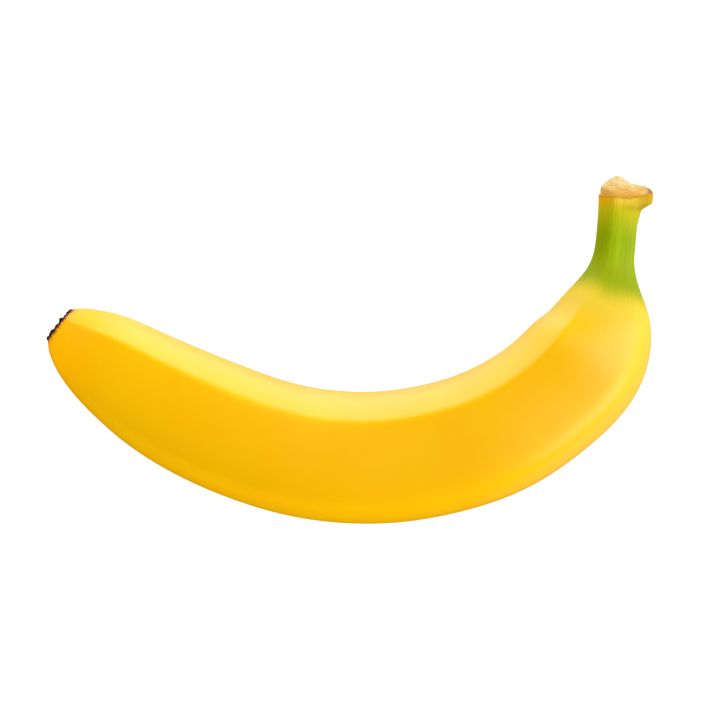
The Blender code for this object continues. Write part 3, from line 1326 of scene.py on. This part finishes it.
@dataclass
class Studio:
    """A white table top, soft light from all sides, brightest on the hollow side, and a long lens above."""

    target: Vector = field(default_factory=lambda: Vector((0.00026, -0.00033, 0.0175)))
    floor_half: float = 4.0
    floor_grey: Colour = (0.30, 0.30, 0.30)
    floor_pale: Colour = (0.33, 0.33, 0.33)
    floor_grain: float = 900.0
    floor_roughness: float = 0.6
    floor_glow: float = 0.88
    clip_end: float = 50.0
    lens: float = 135.0
    sensor: float = 36.0
    view_width: float = 0.1858
    glows: tuple[Glow, ...] = (
        Glow(5.0, 27.0, 36.0, 58.0, 1.3),
        Glow(30.0, 30.0, 15.0, 40.0, 2.5),
        Glow(-31.0, 14.0, 5.0, 30.0, 2.2),
        Glow(133.0, 5.0, 8.0, 25.0, 1.8),
        Glow(100.0, -38.0, 20.0, 42.0, 1.0),
        Glow(95.0, -28.0, 10.0, 28.0, 0.9),
        Glow(70.0, -30.0, 10.0, 30.0, 0.6),
        Glow(-5.0, -34.0, 26.0, 52.0, 0.42),
    )
    boxes: tuple[SoftBox, ...] = (
        SoftBox("hollow_low", 125.0, 12.0, 11.0),
        SoftBox("left_low", 180.0, 15.0, 5.5),
        SoftBox("outer_low", -108.0, 15.0, 9.9),
        SoftBox("outer_under", -112.0, -30.0, 6.5),
        SoftBox("right_low", -8.0, 18.0, 4.0),
    )

    def build(self) -> None:
        """Makes the whole studio."""
        self._view()
        self._surround()
        self._floor()
        for box in self.boxes:
            box.build(self.target)

    def _view(self) -> None:
        """Places the camera straight overhead and sets plain colours."""
        data = bpy.data.cameras.new("overhead_view")
        data.lens = self.lens
        data.sensor_width = self.sensor
        data.clip_end = self.clip_end
        camera = bpy.data.objects.new("overhead_view", data)
        camera.location = self.target + Vector((0, 0, self.view_width * self.lens / self.sensor))
        bpy.context.scene.collection.objects.link(camera)
        bpy.context.scene.camera = camera
        bpy.context.scene.view_settings.view_transform = "Standard"

    def _surround(self) -> None:
        """Makes the studio walls, white to the camera, with soft bright patches that light the fruit."""
        world = bpy.data.worlds.new("studio")
        bpy.context.scene.world = world
        world.use_nodes = True
        nodes, links = world.node_tree.nodes, world.node_tree.links
        nodes.clear()
        looking = nodes.new("ShaderNodeTexCoord").outputs["Generated"]
        light = nodes.new("ShaderNodeBackground")
        light.inputs["Color"].default_value = WHITE
        total = None
        for glow in self.glows:
            dot = nodes.new("ShaderNodeVectorMath")
            dot.operation = "DOT_PRODUCT"
            links.new(looking, dot.inputs[0])
            dot.inputs[1].default_value = direction(glow.azimuth, glow.elevation)
            patch = nodes.new("ShaderNodeMapRange")
            patch.interpolation_type = "SMOOTHSTEP"
            links.new(dot.outputs["Value"], patch.inputs["Value"])
            patch.inputs["From Min"].default_value = math.cos(math.radians(glow.edge_angle))
            patch.inputs["From Max"].default_value = math.cos(math.radians(glow.full_angle))
            patch.inputs["To Max"].default_value = glow.strength
            brightness = patch.outputs["Result"]
            if total is not None:
                add = nodes.new("ShaderNodeMath")
                links.new(total, add.inputs[0])
                links.new(brightness, add.inputs[1])
                brightness = add.outputs["Value"]
            total = brightness
        links.new(total, light.inputs["Strength"])
        backdrop = nodes.new("ShaderNodeBackground")
        backdrop.inputs["Color"].default_value = WHITE
        path = nodes.new("ShaderNodeLightPath")
        mix = nodes.new("ShaderNodeMixShader")
        out = nodes.new("ShaderNodeOutputWorld")
        links.new(path.outputs["Is Camera Ray"], mix.inputs[0])
        links.new(light.outputs[0], mix.inputs[1])
        links.new(backdrop.outputs[0], mix.inputs[2])
        links.new(mix.outputs[0], out.inputs[0])

    def _floor(self) -> None:
        """Makes the white table top."""
        h = self.floor_half
        mesh = bpy.data.meshes.new("table_top")
        mesh.from_pydata([(-h, -h, 0), (h, -h, 0), (h, h, 0), (-h, h, 0)], [], [(0, 1, 2, 3)])
        floor = bpy.data.objects.new("table_top", mesh)
        bpy.context.scene.collection.objects.link(floor)
        s = Shading("white_table")
        place = s.nodes.new("ShaderNodeTexCoord").outputs["Object"]
        grain = s.clouds(place, self.floor_grain, detail=2.0)
        colour = s.blend(s.rise(grain, 0.3, 0.7), self.floor_grey, self.floor_pale)
        finish = s.finish(
            Base_Color=colour,
            Roughness=self.floor_roughness,
            Emission_Color=WHITE,
            Emission_Strength=self.floor_glow,
        )
        mesh.materials.append(finish)
        floor.visible_glossy = False
        floor.visible_diffuse = False
        floor.visible_shadow = False


def main() -> None:
    """Builds the fruit and the studio, and reports each piece."""
    logging.basicConfig(level=logging.INFO, format="%(name)s: %(message)s")
    Studio().build()
    form = FruitForm()
    for piece in (Peel(form), TornCrown(form), BlossomScar(form)):
        obj = piece.build()
        piece.dress(obj)
        LOG.info("%s: %d faces", obj.name, len(obj.data.polygons))


if __name__ == "__main__":
    main()
